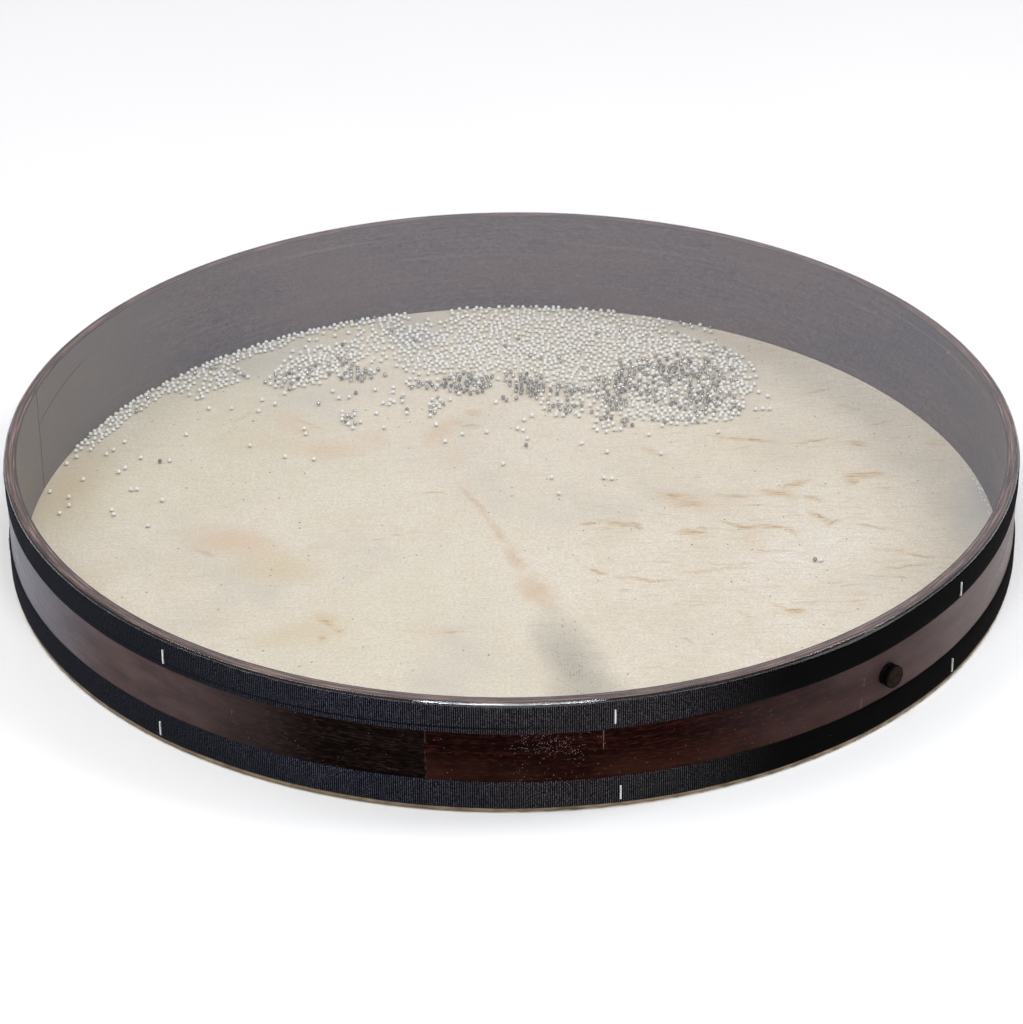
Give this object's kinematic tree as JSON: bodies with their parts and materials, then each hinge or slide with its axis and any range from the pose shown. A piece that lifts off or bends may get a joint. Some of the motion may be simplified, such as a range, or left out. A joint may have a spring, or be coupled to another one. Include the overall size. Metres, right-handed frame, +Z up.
{
  "type": "ocean drum",
  "caption": "Shallow round frame drum with a clear film head above, a goatskin head below and loose beads sealed between them that roll like surf.",
  "frame": {"origin": "middle of the goatskin's underside, which is the face that the drum lies on", "axes": "+Z up along the hoop's axis; +X to the right and -Y towards a player facing the drum's front, where the plug is right of centre"},
  "size_m": [0.56, 0.5599, 0.0644],
  "materials": {
    "stained_ply": "dark brown stain under gloss lacquer",
    "plain_ply": "unstained edge grain",
    "clear_film": "clear glossy film",
    "goatskin": "scraped natural skin with faint spine line and veins",
    "black_ribbon": "ribbed black grosgrain weave",
    "staple_wire": "flattened bright wire",
    "plug_rubber": "matt dark brown",
    "white_bead": "pearly gloss",
    "grey_bead": "dull steel ball"
  },
  "bodies": {
    "drum": {"outer_ply": "stained_ply", "core_ply": "plain_ply", "inner_ply": "stained_ply", "clear_head": "clear_film", "skin_head": "goatskin", "upper_ribbon": "black_ribbon", "lower_ribbon": "black_ribbon", "upper_staple_1": "staple_wire", "upper_staple_2": "staple_wire", "upper_staple_3": "staple_wire", "upper_staple_4": "staple_wire", "upper_staple_5": "staple_wire", "upper_staple_6": "staple_wire", "upper_staple_7": "staple_wire", "upper_staple_8": "staple_wire", "lower_staple_1": "staple_wire", "lower_staple_2": "staple_wire", "lower_staple_3": "staple_wire", "lower_staple_4": "staple_wire", "lower_staple_5": "staple_wire", "lower_staple_6": "staple_wire", "lower_staple_7": "staple_wire", "lower_staple_8": "staple_wire"},
    "beads": {"white_beads_bank": "white_bead", "white_beads_left": "white_bead", "white_beads_loose": "white_bead", "white_beads_trail": "white_bead", "grey_beads_bank": "grey_bead", "grey_beads_middle": "grey_bead", "grey_beads_left": "grey_bead"},
    "plug": {"vent_plug": "plug_rubber"}
  },
  "joints": [
    {"name": "bead_swirl", "type": "hinge", "parent": "drum", "child": "beads", "pos_m": [0, 0, 0], "axis": [0, 0, 1], "continuous": true},
    {"name": "plug_pull", "type": "slide", "parent": "drum", "child": "plug", "axis": [0.682, -0.7314, 0], "range_m": [0, 0.012]}
  ]
}
